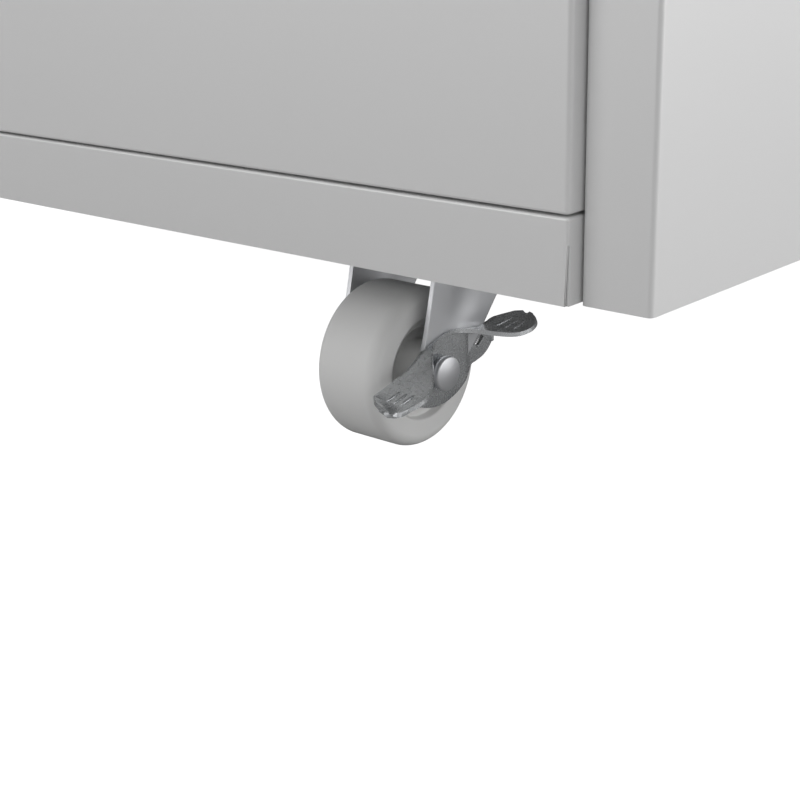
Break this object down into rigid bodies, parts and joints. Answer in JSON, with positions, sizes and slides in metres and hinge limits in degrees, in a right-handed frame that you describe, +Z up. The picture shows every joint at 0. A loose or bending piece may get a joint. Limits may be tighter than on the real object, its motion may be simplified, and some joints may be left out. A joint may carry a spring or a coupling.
{
  "type": "filing cabinet",
  "caption": "Mobile metal filing cabinet: folded sheet body, proud drawer fronts on telescopic slides, central lock bar and swivel casters with rocker brakes.",
  "frame": {"origin": "on the floor, under the middle of the bounding box", "axes": "+X right seen from the front, front faces -Y, +Z up"},
  "size_m": [0.51, 0.4839, 0.62],
  "materials": {
    "white_paint": "fine satin white powder coat",
    "slide_steel": "pale zinc plated rolled steel",
    "satin_nickel": "satin nickel",
    "bright_zinc": "bright zinc plate",
    "white_nylon": "smooth white nylon",
    "black_plastic": "black moulded plastic"
  },
  "bodies": {
    "carcass": {"side_panel_left": "white_paint", "side_panel_right": "white_paint", "back_panel": "white_paint", "top_panel": "white_paint", "bottom_tray": "white_paint", "lock_housing": "satin_nickel", "lock_bar_guide_lower": "black_plastic", "lock_bar_guide_upper": "black_plastic", "file_slide_left_outer": "slide_steel", "file_slide_right_outer": "slide_steel", "centre_slide_left_outer": "slide_steel", "centre_slide_right_outer": "slide_steel", "upper_slide_left_outer": "slide_steel", "upper_slide_right_outer": "slide_steel", "caster_front_left_plate": "bright_zinc", "caster_front_left_kingpin": "bright_zinc", "caster_front_right_plate": "bright_zinc", "caster_front_right_kingpin": "bright_zinc", "caster_rear_left_plate": "bright_zinc", "caster_rear_left_kingpin": "bright_zinc", "caster_rear_right_plate": "bright_zinc", "caster_rear_right_kingpin": "bright_zinc"},
    "file_slide_left_middle": {"file_slide_left_middle": "slide_steel"},
    "file_slide_right_middle": {"file_slide_right_middle": "slide_steel"},
    "file_drawer": {"file_drawer_front": "white_paint", "file_drawer_box": "white_paint", "file_drawer_handle": "satin_nickel", "file_rail_left": "slide_steel", "file_rail_right": "slide_steel", "file_slide_left_inner": "slide_steel", "file_slide_right_inner": "slide_steel"},
    "centre_drawer": {"centre_drawer_front": "white_paint", "centre_drawer_box": "white_paint", "centre_drawer_handle": "satin_nickel", "centre_slide_left_inner": "slide_steel", "centre_slide_right_inner": "slide_steel"},
    "upper_drawer": {"upper_drawer_front": "white_paint", "upper_drawer_box": "white_paint", "upper_drawer_handle": "satin_nickel", "upper_slide_left_inner": "slide_steel", "upper_slide_right_inner": "slide_steel"},
    "lock_barrel": {"lock_plug": "satin_nickel", "lock_cam": "slide_steel"},
    "lock_bar": {"lock_bar": "slide_steel"},
    "caster_front_left_swivel": {"caster_front_left_fork": "bright_zinc", "caster_front_left_axle": "bright_zinc"},
    "caster_front_left_wheel": {"caster_front_left_wheel": "white_nylon"},
    "caster_front_left_brake": {"caster_front_left_brake": "bright_zinc"},
    "caster_front_right_swivel": {"caster_front_right_fork": "bright_zinc", "caster_front_right_axle": "bright_zinc"},
    "caster_front_right_wheel": {"caster_front_right_wheel": "white_nylon"},
    "caster_front_right_brake": {"caster_front_right_brake": "bright_zinc"},
    "caster_rear_left_swivel": {"caster_rear_left_fork": "bright_zinc", "caster_rear_left_axle": "bright_zinc"},
    "caster_rear_left_wheel": {"caster_rear_left_wheel": "white_nylon"},
    "caster_rear_right_swivel": {"caster_rear_right_fork": "bright_zinc", "caster_rear_right_axle": "bright_zinc"},
    "caster_rear_right_wheel": {"caster_rear_right_wheel": "white_nylon"}
  },
  "joints": [
    {"name": "file_drawer_slide", "type": "slide", "parent": "carcass", "child": "file_drawer", "axis": [0, -1, 0], "range_m": [0, 0.4]},
    {"name": "centre_drawer_slide", "type": "slide", "parent": "carcass", "child": "centre_drawer", "axis": [0, -1, 0], "range_m": [0, 0.31]},
    {"name": "upper_drawer_slide", "type": "slide", "parent": "carcass", "child": "upper_drawer", "axis": [0, -1, 0], "range_m": [0, 0.31]},
    {"name": "file_slide_left_middle_travel", "type": "slide", "parent": "carcass", "child": "file_slide_left_middle", "axis": [0, -1, 0], "range_m": [0, 0.2]},
    {"name": "file_slide_right_middle_travel", "type": "slide", "parent": "carcass", "child": "file_slide_right_middle", "axis": [0, -1, 0], "range_m": [0, 0.2]},
    {"name": "lock_turn", "type": "hinge", "parent": "carcass", "child": "lock_barrel", "pos_m": [0.2348, -0.21345, 0.6075], "axis": [0, 1, 0], "range_deg": [0, 90]},
    {"name": "lock_bar_travel", "type": "slide", "parent": "carcass", "child": "lock_bar", "axis": [0, 0, -1], "range_m": [0, 0.0099]},
    {"name": "caster_front_left_swivel", "type": "hinge", "parent": "carcass", "child": "caster_front_left_swivel", "pos_m": [-0.1506, -0.16725, 0.0561], "axis": [0, 0, 1], "continuous": true},
    {"name": "caster_front_left_roll", "type": "hinge", "parent": "caster_front_left_swivel", "child": "caster_front_left_wheel", "pos_m": [-0.1506, -0.18455, 0.0245], "axis": [1, 0, 0], "continuous": true},
    {"name": "caster_front_left_brake_rock", "type": "hinge", "parent": "caster_front_left_swivel", "child": "caster_front_left_brake", "pos_m": [-0.1506, -0.18455, 0.0245], "axis": [-1, 0, 0], "range_deg": [0, 12]},
    {"name": "caster_front_right_swivel", "type": "hinge", "parent": "carcass", "child": "caster_front_right_swivel", "pos_m": [0.1506, -0.16725, 0.0561], "axis": [0, 0, 1], "continuous": true},
    {"name": "caster_front_right_roll", "type": "hinge", "parent": "caster_front_right_swivel", "child": "caster_front_right_wheel", "pos_m": [0.1506, -0.18455, 0.0245], "axis": [1, 0, 0], "continuous": true},
    {"name": "caster_front_right_brake_rock", "type": "hinge", "parent": "caster_front_right_swivel", "child": "caster_front_right_brake", "pos_m": [0.1506, -0.18455, 0.0245], "axis": [-1, 0, 0], "range_deg": [0, 12]},
    {"name": "caster_rear_left_swivel", "type": "hinge", "parent": "carcass", "child": "caster_rear_left_swivel", "pos_m": [-0.1506, 0.20115, 0.0561], "axis": [0, 0, 1], "continuous": true},
    {"name": "caster_rear_left_roll", "type": "hinge", "parent": "caster_rear_left_swivel", "child": "caster_rear_left_wheel", "pos_m": [-0.1506, 0.18385, 0.0245], "axis": [1, 0, 0], "continuous": true},
    {"name": "caster_rear_right_swivel", "type": "hinge", "parent": "carcass", "child": "caster_rear_right_swivel", "pos_m": [0.1506, 0.20115, 0.0561], "axis": [0, 0, 1], "continuous": true},
    {"name": "caster_rear_right_roll", "type": "hinge", "parent": "caster_rear_right_swivel", "child": "caster_rear_right_wheel", "pos_m": [0.1506, 0.18385, 0.0245], "axis": [1, 0, 0], "continuous": true}
  ],
  "couplings": [
    {"joint": "file_slide_left_middle_travel", "follows": "file_drawer_slide", "ratio": 0.5},
    {"joint": "file_slide_right_middle_travel", "follows": "file_drawer_slide", "ratio": 0.5},
    {"joint": "lock_turn", "follows": "lock_bar_travel", "rad_per_m": 158.6}
  ]
}
